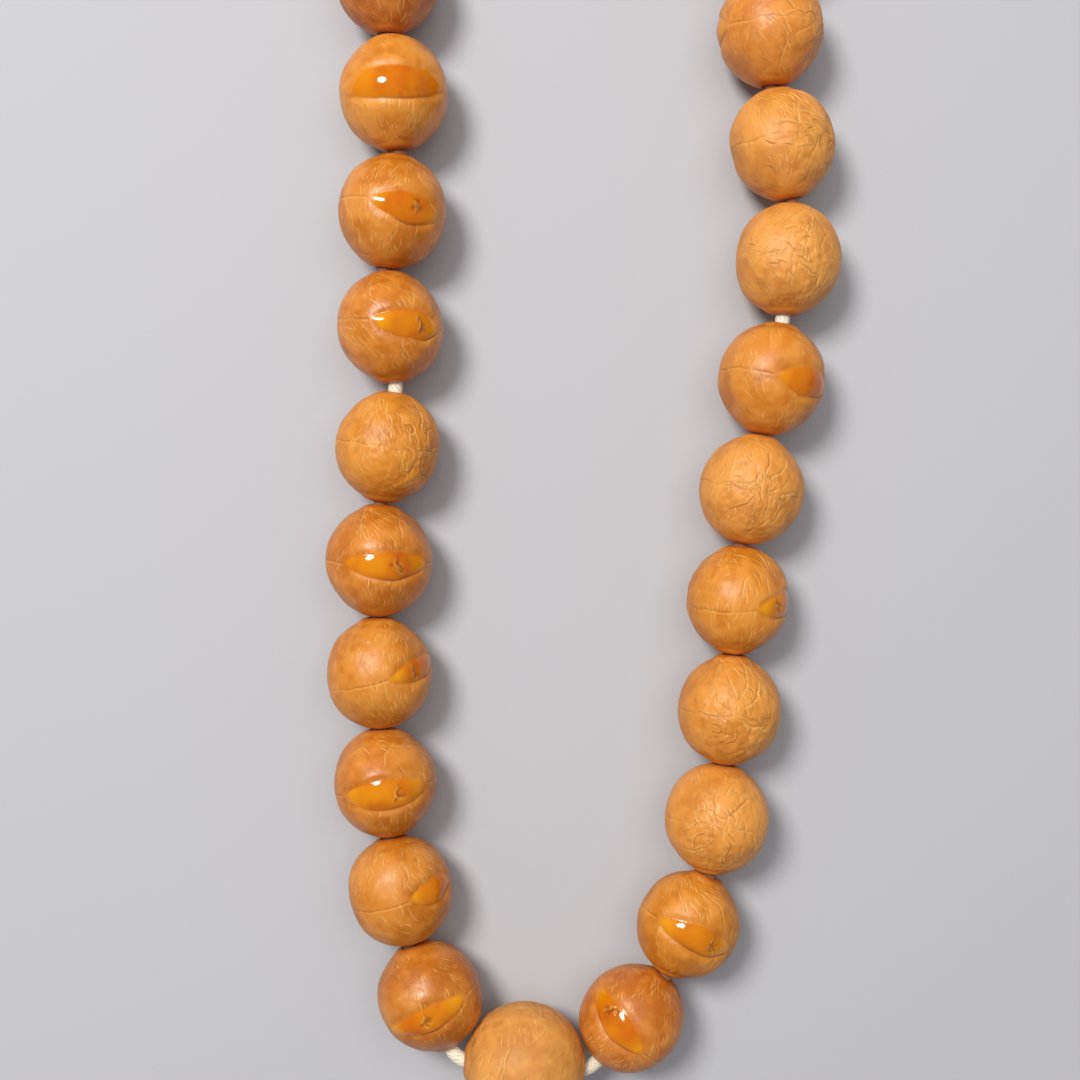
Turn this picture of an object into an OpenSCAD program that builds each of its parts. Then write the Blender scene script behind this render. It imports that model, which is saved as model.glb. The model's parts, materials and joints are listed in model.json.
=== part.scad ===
// A closed strand of round carved seeds: thirty-three counting beads and one larger leader
// bead on a white cord, laid out on a table as a long narrow loop. The cord's two ends are
// tied in a knot that hides inside the leader bead.
//
// The strand lies on z = 0. The leader bead is at the bottom of the loop, and the bead
// numbers run up the left side, over the top and down the right side.

/* [Beads] */
// Width of a counting bead, across its bore
bead_d = 18; // [17:0.5:18.5]
// Length of a counting bead along its bore, from rim to rim
bead_len = 18.74; // [18.5:0.02:19]
// How far the seeds differ in size, as a share of their width
bead_vary = 0.012; // [0:0.002:0.016]
// Diameter of the leader bead
leader_d = 21.2; // [20.4:0.2:22]

/* [Bores] */
// Diameter of the hole drilled through every bead
bore_d = 2.9; // [2.8:0.1:3]
// Diameter of the countersink at a bore's mouth
mouth_d = 3.4; // [3.3:0.1:3.6]
// Diameter of the pocket in the leader bead that hides the knot
pocket_d = 5; // [4.8:0.1:5.2]

/* [Cord] */
// Diameter of the cord
cord_d = 2.5; // [2.2:0.1:2.5]
// Diameter of the knot
knot_d = 4.4; // [4:0.1:4.6]
// Length of the knot
knot_len = 4.6; // [4:0.2:5]

/* [Spacing] */
// Space between beads that sit close together
close_gap = 0.15; // [0.12:0.01:0.25]
// Space between beads where the strand bends
bend_gap = 0.3; // [0.28:0.01:0.4]
// Space between beads where the cord's slack shows
slack_gap = 1.2; // [0.8:0.1:1.6]

/* [Hidden] */
beads = 33; // counting beads
total = beads + 1; // with the leader bead, which is number 0
side = 14; // beads on each straight side of the loop
first_right = total - side; // the right side's bead nearest the top
$fn = 96;

// Directions in degrees of the beads' bores: the leader bead's, from right to left, and those
// of the beads on each side, walking up from the leader bead.
leader_bore = 175;
left_bores = [110, 100, 95, 91, 88, 82, 95, 83, 95, 90, 91, 93, 94, 91];
right_bores = [52, 67, 83, 86, 86, 80, 80, 86, 101, 92, 92, 89, 86, 82];

// Every gap is named by the bead before it. The strand bends at these, and is slack at those.
bend_gaps = [5, 8, 11, 14, 19, 22, 25, 28];
slack_gaps = [6, 26];

// Lengths of cord, each with the first and last bead that it carries.
cord_runs = [
    ["cord_lower_left", 1, 5],
    ["cord_left_1", 6, 8],
    ["cord_left_2", 9, 11],
    ["cord_left_3", 12, 14],
    ["cord_top", 15, 19],
    ["cord_right_3", 20, 22],
    ["cord_right_2", 23, 25],
    ["cord_right_1", 26, 28],
    ["cord_lower_right", 29, 33]
];

size_turn = 97; // steps the natural variation in size from bead to bead
arch_turn = 40; // sharpest turn between neighbours over the top, with room to bend further
end_space = 0.1; // how far a length of cord ends short of a bending point
inset = 0.5; // how deep inside a bore's mouth the cord starts to bend
chamfer = 3; // depth of a countersink, as a multiple of how far it widens the bore
bend_handle = 0.45; // how straight the cord leaves a bore beside the leader, as a share of the gap
knot_past = 0.6; // how far the knot reaches past the leader's centre, to the left
chamfer_past = 0.5; // how far a countersink's cone runs on beyond the bead
bore_past = 2; // how far a bore's cylinder runs on beyond the bead
halvings = 40; // steps that find the angle of the arch over the top
cord_sides = 8;
seed_color = [0.75, 0.43, 0.16];
leader_color = [0.72, 0.47, 0.22];
cord_color = [0.93, 0.9, 0.82];

// ---- Shape of a bead: a ball with a short straight band round its middle ----

function mouth_r() = mouth_d / 2;

function bead_scale(i) = 1 + bead_vary * sin(size_turn * i);

function bead_r(i) = i == 0 ? leader_d / 2 : bead_d / 2 * bead_scale(i);

function bead_half(i) =
    i == 0 ? sqrt(pow(leader_d / 2, 2) - pow(mouth_r(), 2)) : bead_len / 2 * bead_scale(i);

// Half the length of the band. The leader bead is a plain ball, so its band has no length.
function half_band(i) = bead_half(i) - sqrt(pow(bead_r(i), 2) - pow(mouth_r(), 2));

// How far a bead reaches in a direction that is phi degrees from its bore.
function reach(i, phi) =
    bead_r(i) * abs(sin(phi)) < mouth_r()
    ? mouth_r() * abs(sin(phi)) + bead_half(i) * abs(cos(phi))
    : bead_r(i) + half_band(i) * abs(cos(phi));

// ---- Layout of the loop: each bore is a straight link, and the links pivot in the gaps ----

function has(list, i) = len(search(i, list)) > 0;

function gap_after(i) =
    has(bend_gaps, i) ? bend_gap : has(slack_gaps, i) ? slack_gap : close_gap;

function along(heading) = [cos(heading), sin(heading)];

// Length of cord between the rims of beads a and b, when the strand turns between them and
// the two beads come no nearer than gap.
function room(a, b, turn, gap) =
    let (
        apart = reach(a, turn / 2) + reach(b, turn / 2) + gap,
        seen_from_above = sqrt(pow(apart, 2) - pow(bead_r(a) - bead_r(b), 2))
    )
    seen_from_above / cos(turn / 2) - bead_half(a) - bead_half(b);

arch_room = room(side + 1, side + 1, arch_turn, bend_gap);

// Room above each bead of one side, from the leader bead up. Bead k is k places up the side.
function side_rooms(bores, names, gaps) = [
    for (k = [0:side])
        k < side ? room(names[k], names[k + 1], bores[k + 1] - bores[k], gap_after(gaps[k])) : arch_room
];

// Centres of one side's beads, starting with the leader bead at [0, 0].
function side_centres(bores, names, rooms) = [
    for (
        k = 0, p = [0, 0];
        k <= side;
        p = k < side
            ? p + (bead_half(names[k]) + rooms[k] / 2) * along(bores[k])
                + (bead_half(names[k + 1]) + rooms[k] / 2) * along(bores[k + 1])
            : p,
        k = k + 1
    ) p
];

left_names = [for (k = [0:side]) k];
right_names = [for (k = [0:side]) (total - k) % total];
left_all = concat([leader_bore], left_bores);
right_all = concat([leader_bore - 180], right_bores);
left_rooms = side_rooms(left_all, left_names, left_names);
right_rooms = side_rooms(right_all, right_names, [for (k = [0:side]) beads - k]);
left_side = side_centres(left_all, left_names, left_rooms);
right_side = side_centres(right_all, right_names, right_rooms);

// The arch over the top: equal links on a circle, between the pivots above the two sides.
function top_pivot(centres, bores) =
    centres[side] + (bead_half(side) + arch_room / 2) * along(bores[side]);

arch_beads = first_right - side - 1;
arch_from = top_pivot(left_side, left_all);
arch_span = top_pivot(right_side, right_all) - arch_from;
arch_pitch = bead_len + arch_room;

// Half of the angle that one link takes, found by halving the interval that holds it.
function link_angle(low, high, tries) =
    let (mid = (low + high) / 2)
    tries == 0 ? mid
    : arch_pitch * sin(arch_beads * mid) / sin(mid) > norm(arch_span)
    ? link_angle(mid, high, tries - 1)
    : link_angle(low, mid, tries - 1);

arch_angle = link_angle(1, 180 / arch_beads - 1, halvings);

function arch_bore(k) =
    atan2(arch_span[1], arch_span[0]) + (arch_beads - 1 - 2 * k) * arch_angle;

arch = [
    for (
        k = 0, p = arch_from;
        k < arch_beads;
        p = p + arch_pitch * along(arch_bore(k)), k = k + 1
    ) p + arch_pitch / 2 * along(arch_bore(k))
];

loop_centres = concat(left_side, arch, [for (k = [side:-1:1]) right_side[k]]);

// Direction along bead i's bore, in the direction of travel around the loop.
function bore_heading(i) =
    i <= side ? left_all[i]
    : i < first_right ? arch_bore(i - side - 1)
    : right_all[total - i] - 180;

// The loop's box, and the middle of its base as the origin.
low_corner = [
    for (axis = [0, 1])
        min([for (i = [0:total - 1]) loop_centres[i][axis] - reach(i, bore_heading(i) - 90 * axis)])
];
high_corner = [
    for (axis = [0, 1])
        max([for (i = [0:total - 1]) loop_centres[i][axis] + reach(i, bore_heading(i) - 90 * axis)])
];
middle = (low_corner + high_corner) / 2;

function centre(i) =
    [loop_centres[i][0] - middle[0], loop_centres[i][1] - middle[1], bead_r(i)];

function bore_dir(i) = [cos(bore_heading(i)), sin(bore_heading(i)), 0];

// ---- Cord: a route is a list of stations, each a point and the cord's direction there ----

function entry(i) = centre(i) - bead_half(i) * bore_dir(i);
function exit(i) = centre(i) + bead_half(i) * bore_dir(i);
function station_in(i) = [entry(i) + inset * bore_dir(i), bore_dir(i)];
function station_out(i) = [exit(i) - inset * bore_dir(i), bore_dir(i)];

// The curve that joins bead a's exit to bead b's entry, at a share t of its way.
function bend_station(a, b, t) =
    let (
        handle = bend_handle * norm(entry(b) - exit(a)),
        p = [exit(a), exit(a) + handle * bore_dir(a), entry(b) - handle * bore_dir(b), entry(b)],
        at = pow(1 - t, 3) * p[0] + 3 * pow(1 - t, 2) * t * p[1] + 3 * (1 - t) * t * t * p[2]
            + pow(t, 3) * p[3],
        slope = pow(1 - t, 2) * (p[1] - p[0]) + 2 * (1 - t) * t * (p[2] - p[1]) + t * t * (p[3] - p[2])
    )
    [at, slope / norm(slope)];

function link_stations(a, b) =
    a == 0 || b == 0
    ? [for (t = [0, 0.2, 0.4, 0.6, 0.8, 1]) bend_station(a, b, t)]
    : [station_out(a), station_in(b)];

// Middle of the gap after bead i, where the strand can bend, and the cord's direction there.
function bend_centre(i) = (exit(i) + entry(i + 1)) / 2;

function bend_dir(i) = (bore_dir(i) + bore_dir(i + 1)) / norm(bore_dir(i) + bore_dir(i + 1));

function bend_end(i, side_of) = [bend_centre(i) + side_of * end_space * bend_dir(i), bend_dir(i)];

// Where the knot sits along the leader's bore, which runs from the right side to the left.
knot_from = knot_len - knot_past;
knot_to = -knot_past;
function leader_station(back) = [centre(0) - back * bore_dir(0), bore_dir(0)];

// Route of a run of cord that carries beads a to b.
function run_stations(a, b) =
    concat(
        a == 1
            ? concat([leader_station(knot_to)], link_stations(0, 1))
            : [bend_end(a - 1, 1), station_in(a)],
        [for (i = [a:b - 1]) each link_stations(i, i + 1)],
        b == beads
            ? concat(link_stations(beads, 0), [leader_station(knot_from)])
            : [station_out(b), bend_end(b, -1)]
    );

// One ring of points about a station, square to the cord there.
function ring(station) =
    let (
        forward = station[1],
        across = cross(forward, [0, 0, 1]) / norm(cross(forward, [0, 0, 1])),
        up = cross(across, forward)
    )
    [
        for (k = [0:cord_sides - 1])
            station[0] + cord_d / 2 * (cos(360 * k / cord_sides) * across + sin(360 * k / cord_sides) * up)
    ];

module tube(stations) {
    n = cord_sides;
    rings = len(stations);
    polyhedron(
        points = [for (station = stations) each ring(station)],
        faces = concat(
            [[for (k = [0:n - 1]) k]],
            [
                for (i = [0:rings - 2])
                    for (k = [0:n - 1])
                        [i * n + k, (i + 1) * n + k, (i + 1) * n + (k + 1) % n, i * n + (k + 1) % n]
            ],
            [[for (k = [n - 1:-1:0]) (rings - 1) * n + k]]
        )
    );
}

// ---- Sub-parts ----

// Places its children on bead i, with the bore along the children's z.
module on_bead(i) {
    translate(centre(i)) rotate([0, 0, bore_heading(i)]) rotate([0, 90, 0]) children();
}

module bore(i) {
    widening = mouth_d - bore_d;
    deep = widening / 2 * chamfer;
    cylinder(h = 2 * (bead_half(i) + bore_past), d = bore_d, center = true);
    for (end = [0, 180])
        rotate([end, 0, 0]) translate([0, 0, bead_half(i) - deep])
            cylinder(h = deep + chamfer_past, d1 = bore_d, d2 = bore_d + widening * (1 + chamfer_past / deep));
}

module counting_bead(i) {
    r = bead_r(i);
    color(seed_color) on_bead(i) difference() {
        rotate_extrude() intersection() {
            union() {
                for (end = [-1, 1]) translate([0, end * half_band(i)]) circle(r = r);
                translate([-r, -half_band(i)]) square([2 * r, 2 * half_band(i)]);
            }
            translate([0, -2 * r]) square([2 * r, 4 * r]);
        }
        bore(i);
    }
}

module leader_bead() {
    color(leader_color) on_bead(0) difference() {
        sphere(d = leader_d);
        bore(0);
        translate([0, 0, -leader_d]) cylinder(h = leader_d - knot_to, d = pocket_d);
    }
}

module cord_knot() {
    round_r = 0.8; // rounding at the knot's two ends
    color(cord_color) on_bead(0) translate([0, 0, -knot_from]) rotate_extrude() {
        square([knot_d / 2 - round_r, knot_len]);
        translate([0, round_r]) square([knot_d / 2, knot_len - 2 * round_r]);
        for (z = [round_r, knot_len - round_r]) translate([knot_d / 2 - round_r, z]) circle(r = round_r);
    }
}

module cord_run(run) {
    color(cord_color) tube(run_stations(run[1], run[2]));
}

function bead_name(i) = str("bead_", i < 10 ? "0" : "", i);

leader_bead();
cord_knot();
for (i = [1:beads]) counting_bead(i);
for (run = cord_runs) cord_run(run);
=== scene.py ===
"""Misbaha prayer beads: the looks of a strand of veined seeds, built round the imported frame.

Lengths are in millimetres unless a name says otherwise. Every bead's own frame is: along, the bore's
direction turned to point up the table; up, away from the table; side, to the right of both.
"""
import json
import math

import bpy
import numpy as np
from mathutils import Matrix, Vector


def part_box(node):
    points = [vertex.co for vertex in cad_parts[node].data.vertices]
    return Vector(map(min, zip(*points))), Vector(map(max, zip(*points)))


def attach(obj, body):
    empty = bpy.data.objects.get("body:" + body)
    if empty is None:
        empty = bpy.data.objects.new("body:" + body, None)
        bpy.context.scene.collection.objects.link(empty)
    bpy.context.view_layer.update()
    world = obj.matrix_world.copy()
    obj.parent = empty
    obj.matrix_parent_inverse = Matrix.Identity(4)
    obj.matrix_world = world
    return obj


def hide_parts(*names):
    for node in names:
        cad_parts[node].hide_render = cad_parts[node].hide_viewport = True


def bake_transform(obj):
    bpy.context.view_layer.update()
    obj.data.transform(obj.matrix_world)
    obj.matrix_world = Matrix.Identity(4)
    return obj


MM = 0.001
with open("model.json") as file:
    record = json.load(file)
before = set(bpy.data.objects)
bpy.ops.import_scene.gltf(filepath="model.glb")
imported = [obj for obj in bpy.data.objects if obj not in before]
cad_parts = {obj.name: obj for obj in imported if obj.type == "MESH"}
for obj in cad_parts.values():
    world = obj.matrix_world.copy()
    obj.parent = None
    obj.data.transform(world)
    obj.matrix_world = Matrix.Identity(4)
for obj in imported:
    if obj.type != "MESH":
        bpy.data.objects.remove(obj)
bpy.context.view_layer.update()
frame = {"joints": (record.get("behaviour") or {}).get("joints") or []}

# ---- Measures that the CAD model has ----
BEADS = 33
BEAD_RIM = 18.74 / 18  # length from rim to rim over width
MOUTH_R = 1.7
BORE_R = 1.45
CHAMFER = 0.75
POCKET_R = 2.5
CORD_R = 1.25
LEADER_HEADING = 175.0
KNOT_FROM = 4.0  # the knot's right end, from the leader bead's middle
KNOT_TO = -0.6

# ---- Resolution ----
AROUND = 320
RINGS = 168
LEADER_AROUND = 352
LEADER_RINGS = 180

# ---- Veins, seam and eye ----
ALONG = np.array([1.0, 0.0, 0.0])  # the bore's direction in a bead's own frame
FINE_STROKES = 680  # tries for each bead; only those that fall in a patch are drawn
LONG_LINES = 7
SHORT_CRACKS = 14  # on the seed's back
SPOKES = 8  # long cracks that spread from the middle of the back
STROKE_STEP = 0.3  # one step of a vein's winding walk
SCAR_STEP = 0.15
KINK_CHANCE = 0.12  # how often a vein turns sharply, for each step of its walk
SEAM_DEPTH = 0.11
SEAM_WIDTH = 0.13
EYE_SINK = 0.26  # how far the edges of an eye lie below its middle
EYE_GROOVE = 0.13  # depth of the groove under an eye
SCAR_PITS = 3
BROAD_LUMPS = 0.27  # height of the broad flats that make a seed not quite round
LEADER_DRAWS = 77  # seed of the leader's random draws; a counting bead takes its own number


# ---- Small maths ----

def smooth(low, high, x):
    """0 below low, 1 above high, and a smooth step between them."""
    t = np.clip((x - low) / (high - low), 0.0, 1.0)
    return t * t * (3.0 - 2.0 * t)


def bump(x, width):
    return np.exp(-(x / width) ** 2)


def unit(v):
    v = np.asarray(v, float)
    return v / np.linalg.norm(v, axis=-1, keepdims=True)


def leaning(start, tilt):
    """The direction at start that is turned by the angle tilt from the bore, round the bead."""
    return ALONG * math.cos(tilt) + unit(np.cross(ALONG, start)) * math.sin(tilt)


class Noise:
    """Smooth value noise in space, from -1 to 1, the same for the same seed."""

    SIZE = 256

    def __init__(self, seed):
        rng = np.random.default_rng(seed)
        self.order = rng.permutation(self.SIZE)
        self.value = rng.uniform(-1.0, 1.0, self.SIZE)

    def at(self, p):
        cell = np.floor(p).astype(int)
        f = p - cell
        f = f * f * f * (f * (6.0 * f - 15.0) + 10.0)
        total = 0.0
        for corner in range(8):
            step = np.array([corner & 1, corner >> 1 & 1, corner >> 2])
            weight = np.prod(np.where(step, f, 1.0 - f), axis=-1)
            q = (cell + step) % self.SIZE
            key = self.order[q[..., 0]]
            key = self.order[(key + q[..., 1]) % self.SIZE]
            total = total + weight * self.value[(key + q[..., 2]) % self.SIZE]
        return total

    def layered(self, p, layers):
        total, size = 0.0, 1.0
        for layer in range(layers):
            total = total + size * self.at(p * 2.0 ** layer + 17.3 * layer)
            size *= 0.5
        return total


# ---- What every bead looks like ----
# eye: degrees round from the top towards the side; lift: the eye's middle towards along, mm;
# tilt: degrees that the eye's right end leans towards along; long, high: half sizes of the eye, mm;
# warm: more red; light: paler; dull: less polished; deep: how deep the veins are;
# scar: where along the eye its small mark is, from -1 to 1, or None; lean: how the fine veins lean.

# What a bead has where its own row doesn't say otherwise:
USUAL = dict(lift=0.0, tilt=0, long=7.5, high=2.3, scar=0.25, lean=0.2)

SEEN = {
    1: dict(eye=-5, lift=-1.3, tilt=5, long=8.2, high=2.3,
            warm=0.2, light=-0.72, dull=0.1, deep=0.8, scar=0.05),
    2: dict(eye=46, lift=0.6, tilt=6, long=5.2, high=2.2,
            warm=0.1, light=-0.4, dull=0.3, deep=0.9, scar=None),
    3: dict(eye=3, lift=-0.4, tilt=3, long=8.6, high=2.6,
            warm=0.3, light=-0.4, dull=0.1, deep=0.7, scar=0.3),
    4: dict(eye=52, lift=1.4, tilt=12, long=6.0, high=1.9,
            warm=0.05, light=-0.25, dull=0.3, deep=1.0, scar=-0.15),
    5: dict(eye=14, lift=-0.1, tilt=1, long=8.4, high=2.4,
            warm=0.35, light=-0.35, dull=0.0, deep=0.6, scar=0.2),
    6: dict(eye=222, warm=0.0, light=0.05, dull=0.4, deep=1.0),
    7: dict(eye=24, lift=-0.2, tilt=-11, long=7.0, high=2.5,
            warm=0.3, light=-0.35, dull=0.0, deep=0.5, scar=0.3),
    8: dict(eye=21, lift=0.2, tilt=-6, long=7.0, high=2.6,
            warm=0.25, light=-0.3, dull=0.15, deep=0.8, scar=0.12),
    9: dict(eye=2, lift=0.25, tilt=-2, long=12.0, high=2.7,
            warm=0.1, light=0.12, dull=0.15, deep=0.5, scar=None),
    10: dict(eye=60, lift=0.0, tilt=4, long=7.5, high=2.4,
             warm=0.9, light=-0.9, dull=0.2, deep=0.7),
    24: dict(eye=250, warm=0.5, light=0.2, dull=0.2, deep=0.8),
    25: dict(eye=218, lift=0.2, tilt=5, long=7.5, high=2.3,
             warm=-0.05, light=0.42, dull=0.7, deep=1.1),
    26: dict(eye=174, warm=-0.05, light=0.5, dull=0.7, deep=0.9),
    27: dict(eye=34, lift=0.1, tilt=-2, long=6.6, high=2.5,
             warm=0.2, light=-0.15, dull=0.3, deep=0.9, scar=None),
    28: dict(eye=182, warm=-0.05, light=0.4, dull=0.7, deep=1.0),
    29: dict(eye=52, lift=0.2, tilt=10, long=6.0, high=2.2,
             warm=0.05, light=0.0, dull=0.35, deep=1.0, scar=-0.3),
    30: dict(eye=180, warm=0.0, light=0.25, dull=0.6, deep=1.2),
    31: dict(eye=172, warm=-0.1, light=0.35, dull=0.4, deep=1.0),
    32: dict(eye=4, lift=0.3, tilt=-2, long=8.6, high=2.3,
             warm=0.0, light=-0.1, dull=0.5, deep=1.0, scar=0.35),
    33: dict(eye=-31, lift=-0.4, tilt=-12, long=8.0, high=2.4,
             warm=0.6, light=-0.35, dull=0.3, deep=0.5, scar=-0.1),
}

LEADER_LOOK = dict(eye=178, lift=0.0, tilt=0, lean=1.5, warm=-0.25, light=-0.1, dull=1.0, deep=1.5)


def bead_look(number):
    """The chosen look of a bead, or an ordinary one for a bead that lies out of the main view."""
    if number in SEEN:
        return SEEN[number]
    turn = math.sin(number * 2.399)
    return dict(
        eye=(number * 137.5) % 360 - 180, lift=1.2 * turn, tilt=9 * math.sin(number * 1.7),
        long=7.5 + 0.6 * turn, high=2.35, warm=0.15 + 0.3 * math.sin(number * 3.1),
        light=0.1 + 0.25 * math.cos(number * 2.2), dull=0.3 + 0.25 * turn, deep=0.85 + 0.2 * turn,
    )


# ---- Bead geometry ----

def bead_places():
    """Middle, radius, half length and along direction of every counting bead, from the frame."""
    axes = {}
    for joint in frame["joints"]:
        if joint["child"].startswith("bead_"):
            axes[joint["child"]] = joint["axis"]
    places = {}
    for number in range(1, BEADS + 1):
        name = f"bead_{number:02d}"
        low, high = (np.array(corner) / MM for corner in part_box(name))
        radius = (high[2] - low[2]) / 2
        along = unit(axes[name])
        if along[1] < 0:
            along = -along
        half = radius * BEAD_RIM
        places[number] = dict(name=name, centre=(low + high) / 2, r=radius, half=half, along=along)
    return places


def leader_place():
    low, high = (np.array(corner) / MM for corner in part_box("leader_bead"))
    radius = (high[2] - low[2]) / 2
    heading = math.radians(LEADER_HEADING)
    along = np.array([math.cos(heading), math.sin(heading), 0.0])
    half = math.sqrt(radius ** 2 - MOUTH_R ** 2)
    return dict(name="leader_bead", centre=(low + high) / 2, r=radius, half=half, along=along)


class Shell:
    """The surface of one bead: a grid of rings along the bore and steps round it.

    Its marks say how much each point is: eye, the smooth skin; amber, the skin's yellow ends; dark,
    inside a cut; pale, on a cut's lip; rim, next to a mouth, for painted shade and reddish bounce light
    where the beads touch; and tone, a lighter or darker patch.
    """

    def __init__(self, place, around, rings, seed):
        self.place, self.around, self.rings = place, around, rings
        self.rng = np.random.default_rng(seed)
        self.noise = Noise(seed + 1000)
        r = place["r"]
        self.band = place["half"] - math.sqrt(r * r - MOUTH_R ** 2)
        start = math.asin(1.04 * MOUTH_R / r)
        self.polar = np.linspace(start, math.pi - start, rings)
        self.turn = np.arange(around) * 2.0 * math.pi / around
        polar, turn = np.meshgrid(self.polar, self.turn, indexing="ij")
        side, up = np.sin(polar) * np.sin(turn), np.sin(polar) * np.cos(turn)
        self.out = np.stack([np.cos(polar), side, up], axis=-1)
        self.point = self.surface(self.out)
        self.dir = unit(self.point)
        self.height = np.zeros(polar.shape)
        self.cuts = np.zeros(polar.shape)
        self.lips = np.zeros(polar.shape)
        names = ("eye", "dark", "pale", "tone", "amber", "rim")
        self.marks = {name: np.zeros(polar.shape) for name in names}
        self.free = smooth(MOUTH_R + 0.2, MOUTH_R + 2.4, r * np.sin(polar))  # 0 at the mouths

    def surface(self, out):
        """The plain bead's point where it faces direction out: a ball stretched along its bore."""
        point = self.place["r"] * out
        point[..., 0] += self.band * np.tanh(2.5 * out[..., 0])
        return point

    def near(self, q, reach):
        """Index arrays of the grid points within reach of point q."""
        r = self.place["r"]
        polar = math.acos(np.clip(q[0] / (r + self.band), -1, 1))
        gap = self.polar[1] - self.polar[0]
        spread = int(reach / (r * gap)) + 2
        middle = int(round((polar - self.polar[0]) / gap))
        rows = np.arange(max(0, middle - spread), min(self.rings, middle + spread + 1))
        wide = reach / max(r * math.sin(polar), 1.2)
        wide = int(min(wide, math.pi) / (2 * math.pi) * self.around) + 2
        at = int(round(math.atan2(q[1], q[2]) / (2 * math.pi) * self.around))
        cols = np.arange(at - wide, at + wide + 1) % self.around
        return np.ix_(rows, cols)

    def onto(self, q):
        """Point q moved out or in onto the surface."""
        return self.surface(unit(q - self.band * math.tanh(2.5 * q[0] / self.place["r"]) * ALONG))

    def stroke(self, start, heading, length, width, depth, wander, pale, dark, step=STROKE_STEP):
        """One engraved vein: a winding walk that keeps its heading, dark inside and pale on one lip."""
        q = self.onto(np.asarray(start, float))
        path = [q]
        swing = 0.0
        for index in range(max(2, int(length / step))):
            normal = unit(q)
            heading = unit(heading - normal * (heading @ normal))
            swing = 0.8 * swing + self.rng.normal(0.0, wander)
            if self.rng.random() < KINK_CHANCE:
                swing += self.rng.normal(0.0, 4.0 * wander)
            turned = math.cos(swing) * heading + math.sin(swing) * np.cross(normal, heading)
            q = self.onto(q + step * turned)
            path.append(q)
        for index in range(len(path) - 1):
            a, b = path[index], path[index + 1]
            share = (index + 0.5) / (len(path) - 1)
            taper = math.sin(math.pi * (0.08 + 0.84 * share)) ** 0.7
            where = self.near(a, 3.4 * width + step)
            p = self.point[where]
            span = b - a
            t = np.clip(((p - a) @ span) / (span @ span), 0.0, 1.0)
            off = p - a - t[..., None] * span
            signed = off @ unit(np.cross(unit(a), span))
            beyond = np.sqrt(np.maximum(np.sum(off * off, axis=-1) - signed ** 2, 0.0))
            ends = bump(beyond, width) * taper
            groove = bump(signed, width) * ends
            lip = bump(signed - 1.6 * width, 0.8 * width) * ends
            self.cuts[where] = np.maximum(self.cuts[where], depth * groove)
            self.lips[where] = np.maximum(self.lips[where], 0.7 * depth * lip)
            self.marks["dark"][where] = np.maximum(self.marks["dark"][where], dark * groove)
            self.marks["pale"][where] = np.maximum(self.marks["pale"][where], pale * lip)
        return path

    def press_strokes(self):
        """Moves the strokes made so far into the height of the surface."""
        self.height += self.lips * (self.cuts < 0.02) - self.cuts
        self.cuts = np.zeros_like(self.height)
        self.lips = np.zeros_like(self.height)

    def veins(self, look, hub):
        """Fine strokes in patches, long lines from end to end, and cracks that spread from the back."""
        self.fine_strokes(look)
        self.long_lines(look)
        self.cracks(look, hub)
        self.press_strokes()

    def fine_strokes(self, look):
        rng, r, deep = self.rng, self.place["r"], look["deep"]
        lean = rng.normal(0.0, 0.1) + look["lean"]
        eye = look["eye_axes"][0]
        for index in range(FINE_STROKES):
            start = unit(rng.normal(size=3))
            patch = self.noise.at(start * 2.2 + 40.0) + 0.35 * abs(start[0])
            away = math.acos(float(np.clip(start @ eye, -1, 1)))
            if abs(start[0]) > 0.93 or away < 0.25 or patch < -0.14:
                continue
            tilt = lean + 0.7 * self.noise.at(start * 1.4 + 70.0) + rng.normal(0.0, 0.12)
            back = smooth(1.0, 2.4, away)
            self.stroke(
                start * r, leaning(start, tilt), length=rng.uniform(0.6, 2.0) + back * rng.uniform(0.0, 1.5),
                width=rng.uniform(0.08, 0.12), depth=deep * rng.uniform(0.03, 0.08), wander=0.08,
                pale=rng.uniform(0.2, 1.0), dark=rng.uniform(0.1, 0.5))

    def long_lines(self, look):
        rng, r, deep = self.rng, self.place["r"], look["deep"]
        for index in range(LONG_LINES):
            start = unit(rng.normal(size=3) * np.array([0.5, 1.0, 1.0]))
            tilt = look["lean"] + rng.normal(-0.2, 0.3)
            self.stroke(
                start * r, leaning(start, tilt), length=rng.uniform(3.5, 7.0),
                width=rng.uniform(0.11, 0.15), depth=deep * rng.uniform(0.05, 0.1), wander=0.07,
                pale=rng.uniform(0.5, 1.0), dark=rng.uniform(0.2, 0.5))

    def cracks(self, look, hub):
        """Short cracks round hub, the middle of the back, and long forked ones that spread from it."""
        rng, r, deep = self.rng, self.place["r"], look["deep"]
        for index in range(SHORT_CRACKS):
            start = unit(hub + 0.55 * rng.normal(size=3) * np.array([0.6, 1.0, 1.0]))
            tilt = rng.normal(0.9, 0.6)
            self.stroke(
                start * r, leaning(start, tilt), length=rng.uniform(0.8, 2.6),
                width=rng.uniform(0.11, 0.16), depth=deep * rng.uniform(0.08, 0.18), wander=0.2,
                pale=rng.uniform(0.3, 1.0), dark=rng.uniform(0.4, 0.9))
        for index in range(SPOKES):
            heading = leaning(hub, 2.0 * math.pi * (index + rng.uniform(-0.4, 0.4)) / SPOKES)
            start = hub * r + heading * rng.uniform(0.6, 3.0)
            width = rng.uniform(0.12, 0.16)
            depth = deep * rng.uniform(0.09, 0.19)
            path = self.stroke(
                start, heading, rng.uniform(3.0, 8.5), width, depth, wander=0.2,
                pale=rng.uniform(0.5, 1.0), dark=rng.uniform(0.4, 0.8))
            for fork in range(rng.integers(0, 3)):
                root = path[rng.integers(1, len(path))]
                self.stroke(
                    root, unit(heading + 0.8 * rng.normal(size=3)), rng.uniform(1.0, 2.6),
                    0.85 * width, 0.8 * depth, wander=0.15, pale=0.8, dark=0.5)

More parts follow.
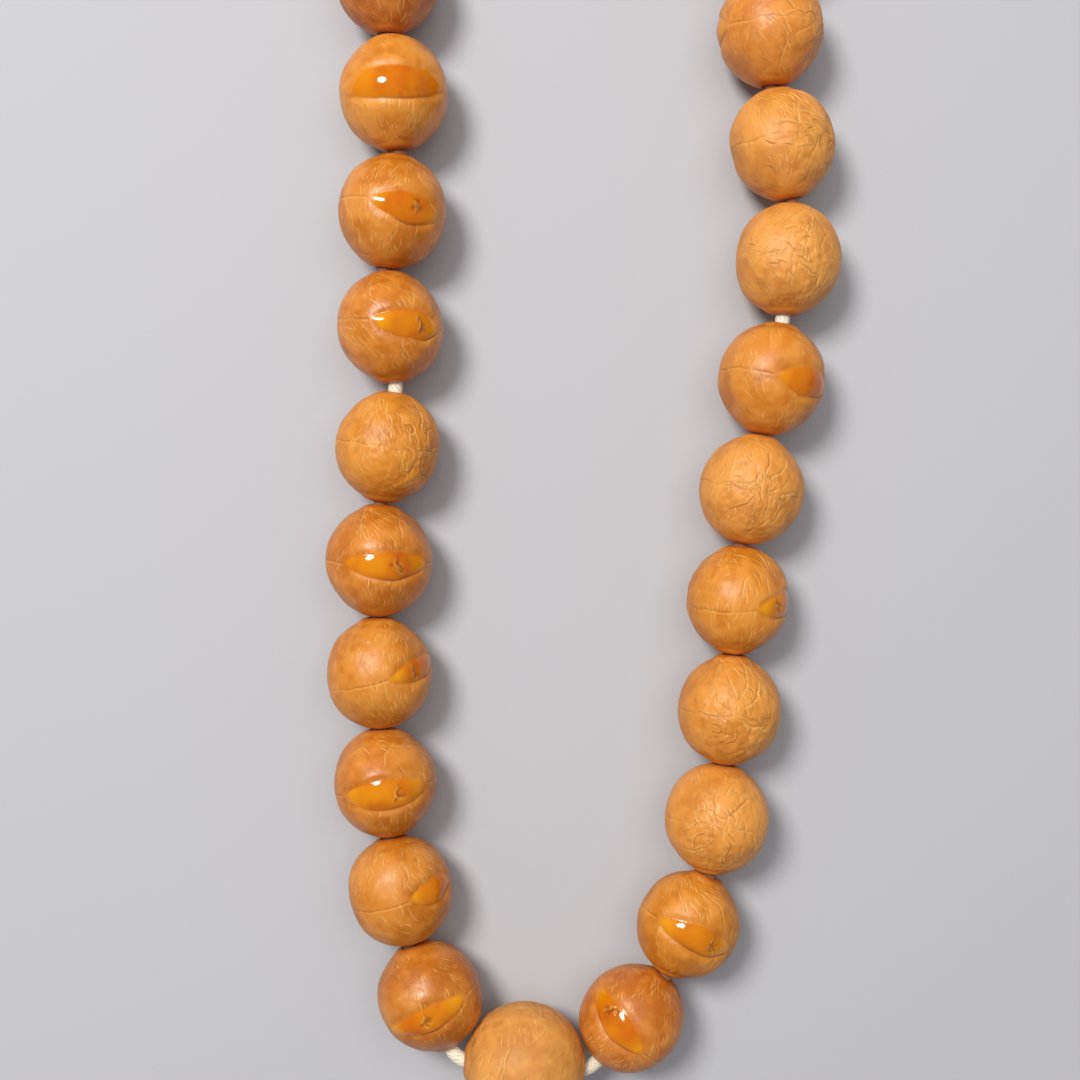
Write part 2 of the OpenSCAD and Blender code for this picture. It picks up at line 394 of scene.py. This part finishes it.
    def seam(self, look):
        """The thin line round the middle of the seed, from the corners of the eye to its back."""
        eye, across, rise = look["eye_axes"]
        away = np.arctan2(self.dir @ across, self.dir @ eye)
        r = self.place["r"]
        line = r * np.arcsin(np.clip(self.dir @ rise, -1, 1))
        wave = 0.35 * self.noise.at(self.dir * 3.1 + 5.0) + 0.18 * self.noise.at(self.dir * 9.0)
        off = line - wave * smooth(0.9, 1.5, np.abs(away))
        start = look["long"] / r
        faded = 1.0 - 0.6 * smooth(1.5, 2.5, np.abs(away))
        shown = smooth(start * 0.96, start * 1.04, np.abs(away)) * faded
        groove = bump(off, SEAM_WIDTH) * shown * (0.65 + 0.35 * self.noise.at(self.dir * 6.0 + 2.0))
        self.height -= SEAM_DEPTH * groove
        self.marks["dark"] = np.maximum(self.marks["dark"], 0.7 * groove)
        lip = bump(off + 0.25, 0.12) * shown
        self.marks["pale"] = np.maximum(self.marks["pale"], 0.4 * lip)

    def eye(self, look):
        """The seed's smooth eye: a bulging almond of bare amber skin, with a groove under its lower edge."""
        eye, across, rise = look["eye_axes"]
        r = self.place["r"]
        facing = self.dir @ eye > 0
        x = r * np.arctan2(self.dir @ across, self.dir @ eye) + 0.2 * self.noise.at(self.dir * 2.3 + 9.0)
        y = r * np.arcsin(np.clip(self.dir @ rise, -1, 1)) + 0.3 * self.noise.at(self.dir * 2.6 + 3.0)
        share = np.clip(x / look["long"], -1.0, 1.0)
        fat = np.maximum(1.0 - share ** 2, 0.0) * facing
        above = look["high"] * 0.95 * fat ** 0.8 * (1.0 + 0.2 * share)
        below = -look["high"] * 1.05 * fat ** 0.75 * (1.0 + 0.15 * share)
        over, low = above - y, y - below
        soft = 0.34 + 0.14 * self.noise.at(self.dir * 5.0) + 0.3 * share ** 2
        skin = smooth(-soft, soft, over) * smooth(-0.06, 0.22, low) * (fat > 0)
        fade = 1.0 - 0.8 * smooth(0.72, 0.98, np.abs(share) + 0.15 * self.noise.at(self.dir * 3.0 + 60.0))
        across_eye = (2.0 * y - above - below) / np.maximum(above - below, 0.6)
        outside = np.maximum(-over, 0.0) + np.maximum(-low, 0.0)
        sunk = np.where(np.abs(across_eye) < 1.0, across_eye ** 2, bump(outside, 0.75))
        sunk = sunk * smooth(0.0, 0.6, fat)
        uneven = np.clip(0.75 + 0.5 * self.noise.at(self.dir * 3.7 + 1.0), 0.0, 1.0)
        strong = smooth(-0.75, -0.1, share) * smooth(0.97, 0.8, share) * uneven * (fat > 0)
        groove = bump(low + 0.04, 0.17) * strong
        self.height = self.height * (1.0 - skin) - EYE_SINK * sunk - EYE_GROOVE * groove
        for name in ("dark", "pale"):
            self.marks[name] *= 1.0 - skin
        self.marks["dark"] = np.maximum(self.marks["dark"], groove)
        self.marks["eye"] = skin * fade
        ends = smooth(0.3, 0.9, np.abs(share)) + 0.6 * self.noise.at(self.dir * 2.0)
        self.marks["amber"] = skin * np.clip(ends, 0.0, 1.0)
        if look["scar"] is not None:
            self.scar(look)

    def scar(self, look):
        """The small mark in the eye: short crooked cuts with pale ridges, in a darker patch."""
        eye, across, rise = look["eye_axes"]
        rng, r, high = self.rng, self.place["r"], look["high"]
        middle = unit(eye + math.tan(look["scar"] * look["long"] / r) * across)
        start = middle * r + rise * rng.uniform(0.45, 0.65) * high
        path = self.stroke(
            start, across * rng.normal(0.0, 0.25) - rise, rng.uniform(1.0, 1.4) * high,
            width=0.2, depth=0.2, wander=0.22, pale=0.8, dark=1.0, step=SCAR_STEP)
        for cut in range(rng.integers(3, 6)):
            root = path[rng.integers(0, len(path) - 3)] + across * rng.normal(0.0, 0.35)
            self.stroke(
                root, across * rng.normal(0.0, 0.5) - rise, rng.uniform(0.4, 1.1),
                width=rng.uniform(0.16, 0.24), depth=0.16, wander=0.25,
                pale=rng.uniform(0.3, 0.9), dark=rng.uniform(0.6, 1.0), step=SCAR_STEP)
        for pit in range(SCAR_PITS):
            root = path[rng.integers(1, len(path) - 1)] + across * rng.normal(0.0, 0.5)
            hole = bump(np.linalg.norm(self.point - root, axis=-1), rng.uniform(0.22, 0.4))
            self.cuts = np.maximum(self.cuts, 0.2 * hole)
            self.marks["dark"] = np.maximum(self.marks["dark"], 0.9 * hole)
            self.marks["pale"] *= 1.0 - hole
        self.press_strokes()
        away = r * np.arccos(np.clip(self.dir @ middle, -1, 1))
        self.marks["tone"] -= 0.6 * bump(away, 1.7)

    def lumps(self, look, hub):
        """The seed isn't quite round: broad flats, soft bumps, and small dents on its back."""
        n = self.noise
        broad = n.layered(self.dir * 1.15 + 31.0, 2)
        small = n.layered(self.point * 0.55 + 3.0, 2)
        fine = n.layered(self.point * 1.5 + 8.0, 2)
        back = smooth(0.2, 0.9, self.dir @ hub)
        skin = self.marks["eye"]
        amount = BROAD_LUMPS * broad + (1.0 - skin) * (0.035 * small + 0.014 * fine)
        amount += back * (1.0 - skin) * (0.1 * small + 0.03 * fine) * look["deep"]
        self.height += amount * (0.25 + 0.75 * self.free)
        self.marks["tone"] += 0.5 * small + 0.35 * broad

    def finish(self):
        """Keeps every point inside the CAD bead, and the mouths as the CAD has them."""
        height = self.height - 0.2 * self.free
        self.height = (height - np.sqrt(height ** 2 + 0.05 ** 2)) / 2 * self.free - 0.015 * self.free
        rim = smooth(MOUTH_R + 0.02, MOUTH_R + 0.9, self.place["r"] * np.sin(self.polar))[:, None]
        self.height = self.height * (0.12 + 0.88 * rim)
        # rim mark: painted shade and reddish bounce light on the bead's ends, strongest at the mouths where
        # beads touch
        self.marks["rim"] = (1.0 - self.free) ** 2


def mouth_rings(place, pocket):
    """Profile points (distance along the bore, radius) from the rim in and through the bore."""
    half, r = place["half"], place["r"]
    rows = [(half - 0.02, MOUTH_R + 0.005), (half - 0.1, MOUTH_R - 0.05), (half - 0.4, MOUTH_R - 0.14),
            (half - CHAMFER, BORE_R)]
    tube = np.linspace(half - CHAMFER, CHAMFER - half, 9)[1:-1]
    rows += [(s, BORE_R) for s in tube]
    rows += [(-s, radius) for s, radius in reversed(rows[:4])]
    if pocket:
        edge = -math.sqrt(r * r - (POCKET_R + 0.12) ** 2)
        rows = [row for row in rows if row[0] > 0.9]
        rows += [(-KNOT_TO + 0.05, BORE_R), (-KNOT_TO, BORE_R + 0.1), (-KNOT_TO, POCKET_R - 0.1),
                 (-KNOT_TO - 0.1, POCKET_R)]
        rows += [(s, POCKET_R) for s in np.linspace(-KNOT_TO - 0.1, edge + 0.15, 8)[1:]]
        rows += [(edge + 0.05, POCKET_R + 0.03)]
    return rows


def bead_mesh(shell, name, pocket=False):
    """A closed mesh: the outer shell, the countersunk mouths and the bore."""
    place = shell.place
    side = np.cross(place["along"], [0.0, 0.0, 1.0])
    axes = np.array([place["along"], side, [0.0, 0.0, 1.0]])
    outer = shell.point + shell.out * shell.height[..., None]
    marks = shell.marks
    if pocket:
        keep = place["r"] * np.sin(shell.polar) > POCKET_R + 0.15
        keep |= shell.polar < math.pi / 2
        outer = outer[keep]
        marks = {key: value[keep] for key, value in marks.items()}
    rows = mouth_rings(place, pocket)
    inner = np.array([
        [[s, radius * math.sin(t), radius * math.cos(t)] for t in shell.turn] for s, radius in rows
    ])
    # the outer shell runs from the along mouth to the other, so the inner wall runs back
    inner = inner[::-1]
    grid = np.concatenate([outer, inner])
    n = shell.around
    total = len(grid)
    points = grid.reshape(-1, 3) @ axes + place["centre"]
    index = np.arange(total * n).reshape(total, n)
    ahead = np.roll(index, -1, axis=0)
    quads = np.stack([index, ahead, np.roll(ahead, -1, axis=1), np.roll(index, -1, axis=1)], axis=-1)
    mesh = bpy.data.meshes.new(name)
    mesh.from_pydata((points * MM).tolist(), [], quads.reshape(-1, 4).tolist())
    bore = np.concatenate([np.zeros(outer.shape[:2]), np.ones(inner.shape[:2])])
    for key, value in marks.items():
        full = np.concatenate([value, np.zeros(inner.shape[:2])])
        put_attribute(mesh, key, full.ravel())
    put_attribute(mesh, "bore", bore.ravel())
    mesh.shade_smooth()
    return mesh


def put_attribute(mesh, name, values):
    attribute = mesh.attributes.new(name, "FLOAT", "POINT")
    attribute.data.foreach_set("value", np.ascontiguousarray(values, np.float32))


def place_object(mesh, name):
    piece = bpy.data.objects.new(name, mesh)
    bpy.context.scene.collection.objects.link(piece)
    return piece


def sphere_dir(turn_deg, lift):
    """Direction at an angle round the bore from the top, and lift towards along."""
    turn = math.radians(turn_deg)
    return np.array([math.sin(lift), math.cos(lift) * math.sin(turn), math.cos(lift) * math.cos(turn)])


def set_eye_axes(look, r):
    """The eye's middle, its long direction and the direction that rises from it."""
    middle = sphere_dir(look["eye"], look["lift"] / r)
    east = sphere_dir(look["eye"] + 90, 0.0)
    north = unit(ALONG - middle * middle[0])
    tilt = math.radians(look["tilt"])
    across = math.cos(tilt) * east + math.sin(tilt) * north
    rise = math.cos(tilt) * north - math.sin(tilt) * east
    look["eye_axes"] = (middle, across, rise)


def build_bead(number, place):
    look = dict(USUAL)
    look.update(bead_look(number))
    set_eye_axes(look, place["r"])
    shell = Shell(place, AROUND, RINGS, number)
    hub = sphere_dir(look["eye"] + 180, 0.05)
    shell.veins(look, hub)
    shell.seam(look)
    shell.eye(look)
    shell.lumps(look, hub)
    shell.finish()
    mesh = bead_mesh(shell, place["name"] + "_seed")
    count = len(mesh.vertices)
    for key in ("warm", "light", "dull"):
        put_attribute(mesh, key, np.full(count, look[key]))
    piece = place_object(mesh, place["name"] + "_seed")
    mesh.materials.append(SEED)
    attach(piece, place["name"])
    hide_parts(place["name"])


def build_leader(place):
    look = dict(LEADER_LOOK)
    set_eye_axes(look, place["r"])
    shell = Shell(place, LEADER_AROUND, LEADER_RINGS, LEADER_DRAWS)
    hub = sphere_dir(120, 0.3)
    shell.veins(look, hub)
    shell.lumps(look, hub)
    shell.finish()
    mesh = bead_mesh(shell, "leader_seed", pocket=True)
    for key in ("warm", "light", "dull"):
        put_attribute(mesh, key, np.full(len(mesh.vertices), look[key]))
    piece = place_object(mesh, "leader_seed")
    mesh.materials.append(LEADER)
    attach(piece, "root")
    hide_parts("leader_bead")


# ---- Materials ----

class Nodes:
    """Short ways to add shader nodes to one material."""

    def __init__(self, name):
        self.material = bpy.data.materials.new(name)
        self.material.use_nodes = True
        self.tree = self.material.node_tree
        self.shader = self.tree.nodes["Principled BSDF"]

    def add(self, kind, **values):
        node = self.tree.nodes.new(kind)
        for key, value in values.items():
            setattr(node, key, value)
        return node

    def link(self, source, target):
        self.tree.links.new(source, target)

    def mark(self, name):
        return self.add("ShaderNodeAttribute", attribute_name=name).outputs["Fac"]

    def maths(self, kind, a, b, clamp=False):
        node = self.add("ShaderNodeMath", operation=kind, use_clamp=clamp)
        for socket, value in zip(node.inputs, (a, b)):
            if isinstance(value, (int, float)):
                socket.default_value = value
            else:
                self.link(value, socket)
        return node.outputs[0]

    def mix(self, factor, a, b):
        node = self.add("ShaderNodeMix", data_type="RGBA", blend_type="MIX", clamp_factor=True)
        for socket, value in ((node.inputs[0], factor), (node.inputs[6], a), (node.inputs[7], b)):
            if isinstance(value, (int, float)):
                socket.default_value = value
            elif isinstance(value, tuple):
                socket.default_value = (*value, 1.0)
            else:
                self.link(value, socket)
        return node.outputs[2]

    def noise(self, scale, detail, rough=0.55):
        where = self.add("ShaderNodeTexCoord").outputs["Object"]
        node = self.add("ShaderNodeTexNoise")
        self.link(where, node.inputs["Vector"])
        node.inputs["Scale"].default_value = scale
        node.inputs["Detail"].default_value = detail
        node.inputs["Roughness"].default_value = rough
        node.inputs["Distortion"].default_value = 0.0
        return node.outputs["Fac"]

    def spread(self, value, low, high, to_low, to_high):
        node = self.add("ShaderNodeMapRange", clamp=True)
        self.link(value, node.inputs["Value"])
        for name, number in (("From Min", low), ("From Max", high), ("To Min", to_low), ("To Max", to_high)):
            node.inputs[name].default_value = number
        return node.outputs[0]

    def bumps(self, height, strength, distance_mm, normal=None):
        node = self.add("ShaderNodeBump")
        node.inputs["Strength"].default_value = strength
        node.inputs["Distance"].default_value = distance_mm * MM
        self.link(height, node.inputs["Height"])
        if normal is not None:
            self.link(normal, node.inputs["Normal"])
        return node.outputs[0]


def linear(r, g, b):
    """A colour given in the usual 0 to 255, as the linear light that the shader takes."""
    out = []
    for value in (r, g, b):
        value /= 255.0
        out.append(value / 12.92 if value <= 0.04045 else ((value + 0.055) / 1.055) ** 2.4)
    return tuple(out)


def seed_material(name, shell_colour, pale_colour, red_colour, mottle):
    """Satin seed shell with veins, and where the eye mark is, smooth amber skin."""
    m = Nodes(name)
    tone = m.mark("tone")
    cloud = m.noise(190.0, 3.0)
    grain = m.noise(1100.0, 2.0)
    base = m.mix(m.maths("MULTIPLY", m.mark("warm"), 0.9, clamp=True), shell_colour, red_colour)
    base = m.mix(m.spread(m.mark("light"), 0.0, 1.0, 0.0, 1.0), base, pale_colour)
    base = m.mix(m.spread(m.mark("light"), -1.0, 0.0, 0.6, 0.0), base, linear(150, 70, 4))
    # painted shade and reddish bounce light near the mouths, where the beads touch each other
    base = m.mix(m.maths("MULTIPLY", m.mark("rim"), 0.6), base, linear(176, 78, 22))
    patch = m.maths("ADD", m.maths("MULTIPLY", tone, 0.35), cloud)
    base = m.mix(m.spread(patch, 0.35, 0.8, 0.0, mottle), base, linear(238, 168, 84))
    base = m.mix(m.spread(patch, 0.55, 0.2, 0.0, mottle), base, linear(158, 84, 24))
    base = m.mix(m.spread(grain, 0.62, 0.8, 0.0, 0.25), base, linear(245, 190, 120))
    base = m.mix(m.maths("MULTIPLY", m.mark("pale"), 0.6, clamp=True), base, linear(250, 198, 112))
    amber = m.mix(m.spread(cloud, 0.3, 0.7, 0.0, 1.0), linear(192, 94, 1), linear(208, 118, 3))
    amber = m.mix(m.spread(tone, -0.5, 0.0, 0.6, 0.0), amber, linear(176, 80, 2))
    amber = m.mix(m.mark("amber"), amber, linear(220, 142, 10))
    amber = m.mix(m.maths("MULTIPLY", m.mark("pale"), 0.8, clamp=True), amber, linear(236, 180, 88))
    colour = m.mix(m.mark("eye"), base, amber)
    colour = m.mix(m.maths("MULTIPLY", m.mark("dark"), 0.7, clamp=True), colour, linear(104, 44, 6))
    colour = m.mix(m.mark("bore"), colour, linear(196, 132, 76))
    m.link(colour, m.shader.inputs["Base Color"])
    rough = m.spread(m.mark("dull"), 0.0, 1.0, 0.36, 0.56)
    rough = m.maths("ADD", rough, m.spread(grain, 0.3, 0.7, -0.04, 0.06))
    rough = m.maths("ADD", rough, m.maths("MULTIPLY", m.mark("dark"), 0.15))
    eye_rough = m.mix(m.mark("eye"), (1.0, 1.0, 1.0), (0.2, 0.2, 0.2))
    rough = m.maths("MULTIPLY", rough, eye_rough)
    m.link(rough, m.shader.inputs["Roughness"])
    m.shader.inputs["Specular IOR Level"].default_value = 0.5
    m.shader.inputs["IOR"].default_value = 1.5
    shell_only = m.maths("SUBTRACT", 1.0, m.mark("eye"))
    fine = m.maths("MULTIPLY", m.noise(800.0, 4.0, rough=0.6), shell_only)
    normal = m.bumps(fine, 0.35, 0.18)
    normal = m.bumps(m.maths("MULTIPLY", m.noise(2600.0, 2.0), shell_only), 0.2, 0.06, normal)
    m.link(normal, m.shader.inputs["Normal"])
    return m.material


def cord_material():
    """Creamy white braid: painted shade between the strands and in the tight gaps between beads, with fine
    fibre along each strand.
    """
    m = Nodes("cord_cream")
    valley = m.mark("valley")
    fibre = m.noise(5200.0, 3.0)
    # painted shade: darker in the valleys between the strands
    colour = m.mix(valley, linear(244, 236, 218), linear(186, 168, 136))
    colour = m.mix(m.spread(fibre, 0.45, 0.75, 0.0, 0.35), colour, linear(214, 200, 172))
    # painted shade: the cord turns dark reddish brown inside the tight gaps between beads, where shade falls
    colour = m.mix(m.maths("MULTIPLY", m.mark("painted_gap_shade"), 0.94), colour, linear(138, 68, 28))
    m.link(colour, m.shader.inputs["Base Color"])
    m.link(m.spread(fibre, 0.3, 0.7, 0.72, 0.9), m.shader.inputs["Roughness"])
    m.shader.inputs["Sheen Weight"].default_value = 0.25
    m.shader.inputs["Sheen Roughness"].default_value = 0.5
    m.link(m.bumps(fibre, 0.5, 0.08), m.shader.inputs["Normal"])
    return m.material


SEED = seed_material("seed_shell", linear(204, 124, 22), linear(228, 158, 80), linear(194, 98, 24), 0.35)
LEADER = seed_material("leader_shell", linear(212, 144, 64), linear(226, 164, 88), linear(196, 116, 46), 0.3)
CORD = cord_material()


# ---- Cord ----

STRANDS = 8  # strands that wind each way round the cord
LAY = 7.0  # length of cord for one full turn of a strand
CORD_AROUND = 32
CORD_STEP = 0.22
BRAID_DEPTH = 0.16  # from the top of a strand down to the valley beside it
HIDE = 3.0  # how deep in a bead's mouth the length of cord that bends at that mouth's gap stops
HANDOVER = HIDE + 0.05  # and how deep the next length stops, so that the two don't touch
TOP_ENDS = 0.45  # how deep in bead_20's mouth cord_top ends
RIGHT_STARTS = 0.55  # and how deep cord_right_3 starts
IN_KNOT = 0.4  # how far the strand's two ends run into the knot


def spline(points, ahead, step):
    """A smooth curve through points, with their directions, sampled at even steps."""
    out = []
    for a, b, da, db in zip(points[:-1], points[1:], ahead[:-1], ahead[1:]):
        gap = np.linalg.norm(b - a)
        count = max(2, int(gap / step))
        for k in range(count):
            t = k / count
            h = np.array([2 * t ** 3 - 3 * t ** 2 + 1, t ** 3 - 2 * t ** 2 + t,
                          3 * t ** 2 - 2 * t ** 3, t ** 3 - t ** 2])
            out.append(h[0] * a + h[1] * gap * da + h[2] * b + h[3] * gap * db)
    out.append(points[-1])
    return np.array(out)


def unshaded_points():
    """Points where the cord shows at rest or when a bead slides, and how far round each the cord has no
    painted shade.
    """
    left = (mouth(1, -1, 0.0)[0] + leader_station(-leader["half"])[0]) / 2
    right = (mouth(BEADS, 1, 0.0)[0] + leader_station(leader["half"])[0]) / 2
    below_6, below_27 = mouth(6, -1, 0.8)[0], mouth(27, 1, 0.8)[0]
    return [(pivot(6), 1.6), (pivot(26), 1.6), (below_6, 0.8), (below_27, 0.8),
            (left, 4.0), (right, 4.0), (leader["centre"], 9.0)]


def painted_gap_shade(path):
    """How much painted shade darkens the cord at each point, where it lies in the tight gaps between beads.
    """
    unshaded = np.zeros(len(path))
    for point, reach in unshaded_points():
        unshaded = np.maximum(unshaded, smooth(reach, 0.7 * reach, np.linalg.norm(path - point, axis=1)))
    return 1.0 - unshaded


def braid_mesh(name, path, radius, lay, strands):
    """A closed tube along path, with two sets of strands crossing over and under each other."""
    ahead = unit(np.gradient(path, axis=0))
    side = unit(np.cross(ahead, [0.0, 0.0, 1.0]))
    up = np.cross(side, ahead)
    run = np.concatenate([[0.0], np.cumsum(np.linalg.norm(np.diff(path, axis=0), axis=1))])
    turn = np.arange(CORD_AROUND) * 2.0 * math.pi / CORD_AROUND
    s, t = np.meshgrid(run, turn, indexing="ij")
    half = strands / 2
    right = half * (t + 2.0 * math.pi * s / lay)
    left = half * (t - 2.0 * math.pi * s / lay)
    over = np.cos(right) * np.cos(left)
    height = np.abs(np.cos(right)) * smooth(-0.2, 0.2, over)
    height = height + np.abs(np.cos(left)) * smooth(0.2, -0.2, over)
    height = np.clip(height, 0.0, 1.0)
    end = np.minimum(s, run[-1] - s)
    round_off = np.sqrt(np.clip(1.0 - (1.0 - np.clip(end / (0.8 * radius), 0.0, 1.0)) ** 2, 0.02, 1.0))
    r = (radius - BRAID_DEPTH * (1.0 - height)) * round_off
    ring = r[..., None] * (np.cos(t)[..., None] * side[:, None] + np.sin(t)[..., None] * up[:, None])
    points = (path[:, None] + ring).reshape(-1, 3)
    n = CORD_AROUND
    count = len(path)
    index = np.arange(count * n).reshape(count, n)
    a, b = index[:-1], index[1:]
    quads = np.stack([a, b, np.roll(b, -1, axis=1), np.roll(a, -1, axis=1)], axis=-1).reshape(-1, 4)
    faces = quads.tolist() + [index[0].tolist(), index[-1][::-1].tolist()]
    mesh = bpy.data.meshes.new(name)
    mesh.from_pydata((points * MM).tolist(), [], faces)
    # valley: how deep each point lies between the strands, used for painted shade
    put_attribute(mesh, "valley", (1.0 - height).ravel())
    # painted shade on the cord in the tight gaps between beads, none where the cord shows
    put_attribute(mesh, "painted_gap_shade", np.repeat(painted_gap_shade(path), n))
    mesh.shade_smooth()
    return mesh


places = bead_places()
leader = leader_place()


def travel(number):
    """Direction of travel through a bead, going round the loop from the leader bead up the left."""
    along = places[number]["along"]
    before = places[number - 1]["centre"] if number > 1 else leader["centre"]
    after = places[number + 1]["centre"] if number < BEADS else leader["centre"]
    return along if (after - before) @ along > 0 else -along


def mouth(number, end, deep):
    """A point on a bead's bore, deep inside its near (-1) or far (+1) mouth, and the travel direction."""
    place = places[number]
    ahead = travel(number)
    return place["centre"] + end * (place["half"] - deep) * ahead, ahead


def pivot(number):
    """The bending point in the gap after a bead."""
    a, _ = mouth(number, 1, 0.0)
    b, _ = mouth(number + 1, -1, 0.0)
    return (a + b) / 2


def cord_path(first, last, start=None, end=None):
    """Path through beads first to last; start and end are extra (point, direction) stations."""
    stations = list(start or [])
    for number in range(first, last + 1):
        stations += [mouth(number, -1, CHAMFER), mouth(number, 1, CHAMFER)]
    stations += list(end or [])
    return spline([p for p, _ in stations], [d for _, d in stations], CORD_STEP)


def leader_station(s):
    """A point on the leader's bore, s towards its right side, and the travel direction (leftward)."""
    return leader["centre"] - s * leader["along"], leader["along"]


def add_cord(node, body, path, blend_from=None):
    mesh = braid_mesh(node + "_braid", path, CORD_R, LAY, STRANDS)
    mesh.materials.append(CORD)
    piece = place_object(mesh, node + "_braid")
    if blend_from is None:
        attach(piece, body)
    else:
        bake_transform(piece)
    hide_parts(node)


def left_section(node, parent, first, last, open_end):
    """A length of cord whose bend is before its first bead, reaching back into the parent's bead."""
    back = mouth(first - 1, 1, HIDE)
    start = [back, mouth(first - 1, 1, CHAMFER)]
    if open_end:  # the top length runs on over the loop's open pivot
        path = cord_path(first, last, start, end=[mouth(last + 1, -1, TOP_ENDS)])
    else:
        path = trim_end(cord_path(first, last, start), mouth(last, 1, HANDOVER)[0])
    add_cord(node, node, path, parent)


def right_section(node, parent, first, last, open_end):
    """A length of cord whose bend is after its last bead, reaching on into the parent's bead."""
    on = mouth(last + 1, -1, HIDE)
    path = cord_path(first, last, end=[mouth(last + 1, -1, CHAMFER), on])
    path = trim_start(path, mouth(first, -1, RIGHT_STARTS if open_end else HANDOVER)[0])
    add_cord(node, node, path, parent)


def trim_end(path, stop):
    """The path up to its point nearest stop."""
    return path[: int(np.argmin(np.linalg.norm(path - stop, axis=1))) + 1]


def trim_start(path, stop):
    """The path from its point nearest stop."""
    return path[int(np.argmin(np.linalg.norm(path - stop, axis=1))):]


def build_cords():
    knot_left = leader_station(KNOT_TO + IN_KNOT)
    path = cord_path(1, 5, start=[knot_left, leader_station(-leader["half"] + CHAMFER)])
    add_cord("cord_lower_left", "root", trim_end(path, mouth(5, 1, HANDOVER)[0]))
    knot_right = leader_station(KNOT_FROM - IN_KNOT)
    path = cord_path(29, BEADS, end=[leader_station(leader["half"] - CHAMFER), knot_right])
    add_cord("cord_lower_right", "root", trim_start(path, mouth(29, -1, HANDOVER)[0]))
    left_section("cord_left_1", "root", 6, 8, False)
    left_section("cord_left_2", "cord_left_1", 9, 11, False)
    left_section("cord_left_3", "cord_left_2", 12, 14, False)
    left_section("cord_top", "cord_left_3", 15, 19, True)
    right_section("cord_right_1", "root", 26, 28, False)
    right_section("cord_right_2", "cord_right_1", 23, 25, False)
    right_section("cord_right_3", "cord_right_2", 20, 22, True)


def build_knot():
    """The tied ends: three tight turns of cord round the strand, inside the leader bead."""
    turns, core, thick = 3.0, 1.4, 0.74
    count = 220
    t = np.linspace(0.0, 1.0, count)
    lie = KNOT_TO + thick + (KNOT_FROM - KNOT_TO - 2 * thick) * t
    angle = 2.0 * math.pi * turns * t
    side = np.cross(leader["along"], [0.0, 0.0, 1.0])
    path = (leader["centre"] - lie[:, None] * leader["along"]
            + core * (np.cos(angle)[:, None] * side + np.sin(angle)[:, None] * np.array([0.0, 0.0, 1.0])))
    mesh = braid_mesh("cord_knot_tied", path, thick, lay=4.0, strands=6)
    mesh.materials.append(CORD)
    piece = place_object(mesh, "cord_knot_tied")
    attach(piece, "root")
    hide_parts("cord_knot")


# ---- Studio, in metres ----

FLOOR_HALF = 3.0
FLOOR_DROP = 0.00002  # how far the floor lies below the beads' lowest points
LIT_POINT = np.array([-0.01, -0.03, 0.01])  # what both lights point at
LENS = 51.0  # camera lens and sensor, mm
SENSOR = 36.0
CAMERA_AT = (-0.0154, -0.0406, 0.2683)
CAMERA_ASIDE = 1.87  # how the view leans away from straight down, degrees
CAMERA_LEAN = 3.54


def build_floor():
    corners = [(-FLOOR_HALF, -FLOOR_HALF, 0), (FLOOR_HALF, -FLOOR_HALF, 0),
               (FLOOR_HALF, FLOOR_HALF, 0), (-FLOOR_HALF, FLOOR_HALF, 0)]
    mesh = bpy.data.meshes.new("floor")
    mesh.from_pydata(corners, [], [(0, 1, 2, 3)])
    floor = place_object(mesh, "floor")
    floor.location.z = -FLOOR_DROP
    m = Nodes("floor_pale")
    m.shader.inputs["Base Color"].default_value = (*linear(180, 180, 184), 1.0)
    m.shader.inputs["Roughness"].default_value = 0.9
    mesh.materials.append(m.material)


def add_light(name, direction, distance, size, power, colour=(1.0, 1.0, 1.0)):
    data = bpy.data.lights.new(name, "AREA")
    data.shape = "DISK"
    data.size = size
    data.energy = power
    data.color = colour
    light = bpy.data.objects.new(name, data)
    bpy.context.scene.collection.objects.link(light)
    toward = unit(direction)
    light.location = tuple(LIT_POINT + toward * distance)
    light.rotation_euler = Vector(tuple(toward)).to_track_quat("Z", "Y").to_euler()
    return light


def build_studio():
    build_floor()
    add_light("key", (-0.42, 0.42, 1.0), distance=0.95, size=0.3, power=8.7, colour=(1.0, 0.98, 0.95))
    fill = add_light("fill", (0.1, 0.3, 1.0), distance=1.6, size=1.6, power=10.6)
    fill.visible_glossy = False
    world = bpy.data.worlds.new("studio")
    world.use_nodes = True
    world.node_tree.nodes["Background"].inputs["Color"].default_value = (0.9, 0.93, 1.0, 1.0)
    world.node_tree.nodes["Background"].inputs["Strength"].default_value = 0.22
    bpy.context.scene.world = world
    bpy.context.scene.view_settings.view_transform = "Standard"


def build_camera():
    """Above the lower half of the strand, leaning a little towards the leader bead."""
    data = bpy.data.cameras.new("camera")
    data.lens = LENS
    data.sensor_width = SENSOR
    data.clip_start = 0.01
    camera = bpy.data.objects.new("camera", data)
    bpy.context.scene.collection.objects.link(camera)
    aside, lean = math.radians(CAMERA_ASIDE), math.radians(CAMERA_LEAN)
    ahead = unit([math.sin(aside), -math.sin(lean), -math.cos(lean)])
    right = unit(np.cross(ahead, [0.0, 1.0, 0.0]))
    up = np.cross(right, ahead)
    turn = Matrix([[right[k], up[k], -ahead[k]] for k in range(3)]).to_4x4()
    turn.translation = CAMERA_AT
    camera.matrix_world = turn
    bpy.context.scene.camera = camera


build_camera()
build_studio()
build_cords()
build_knot()
build_leader(leader)
for number, place in places.items():
    build_bead(number, place)
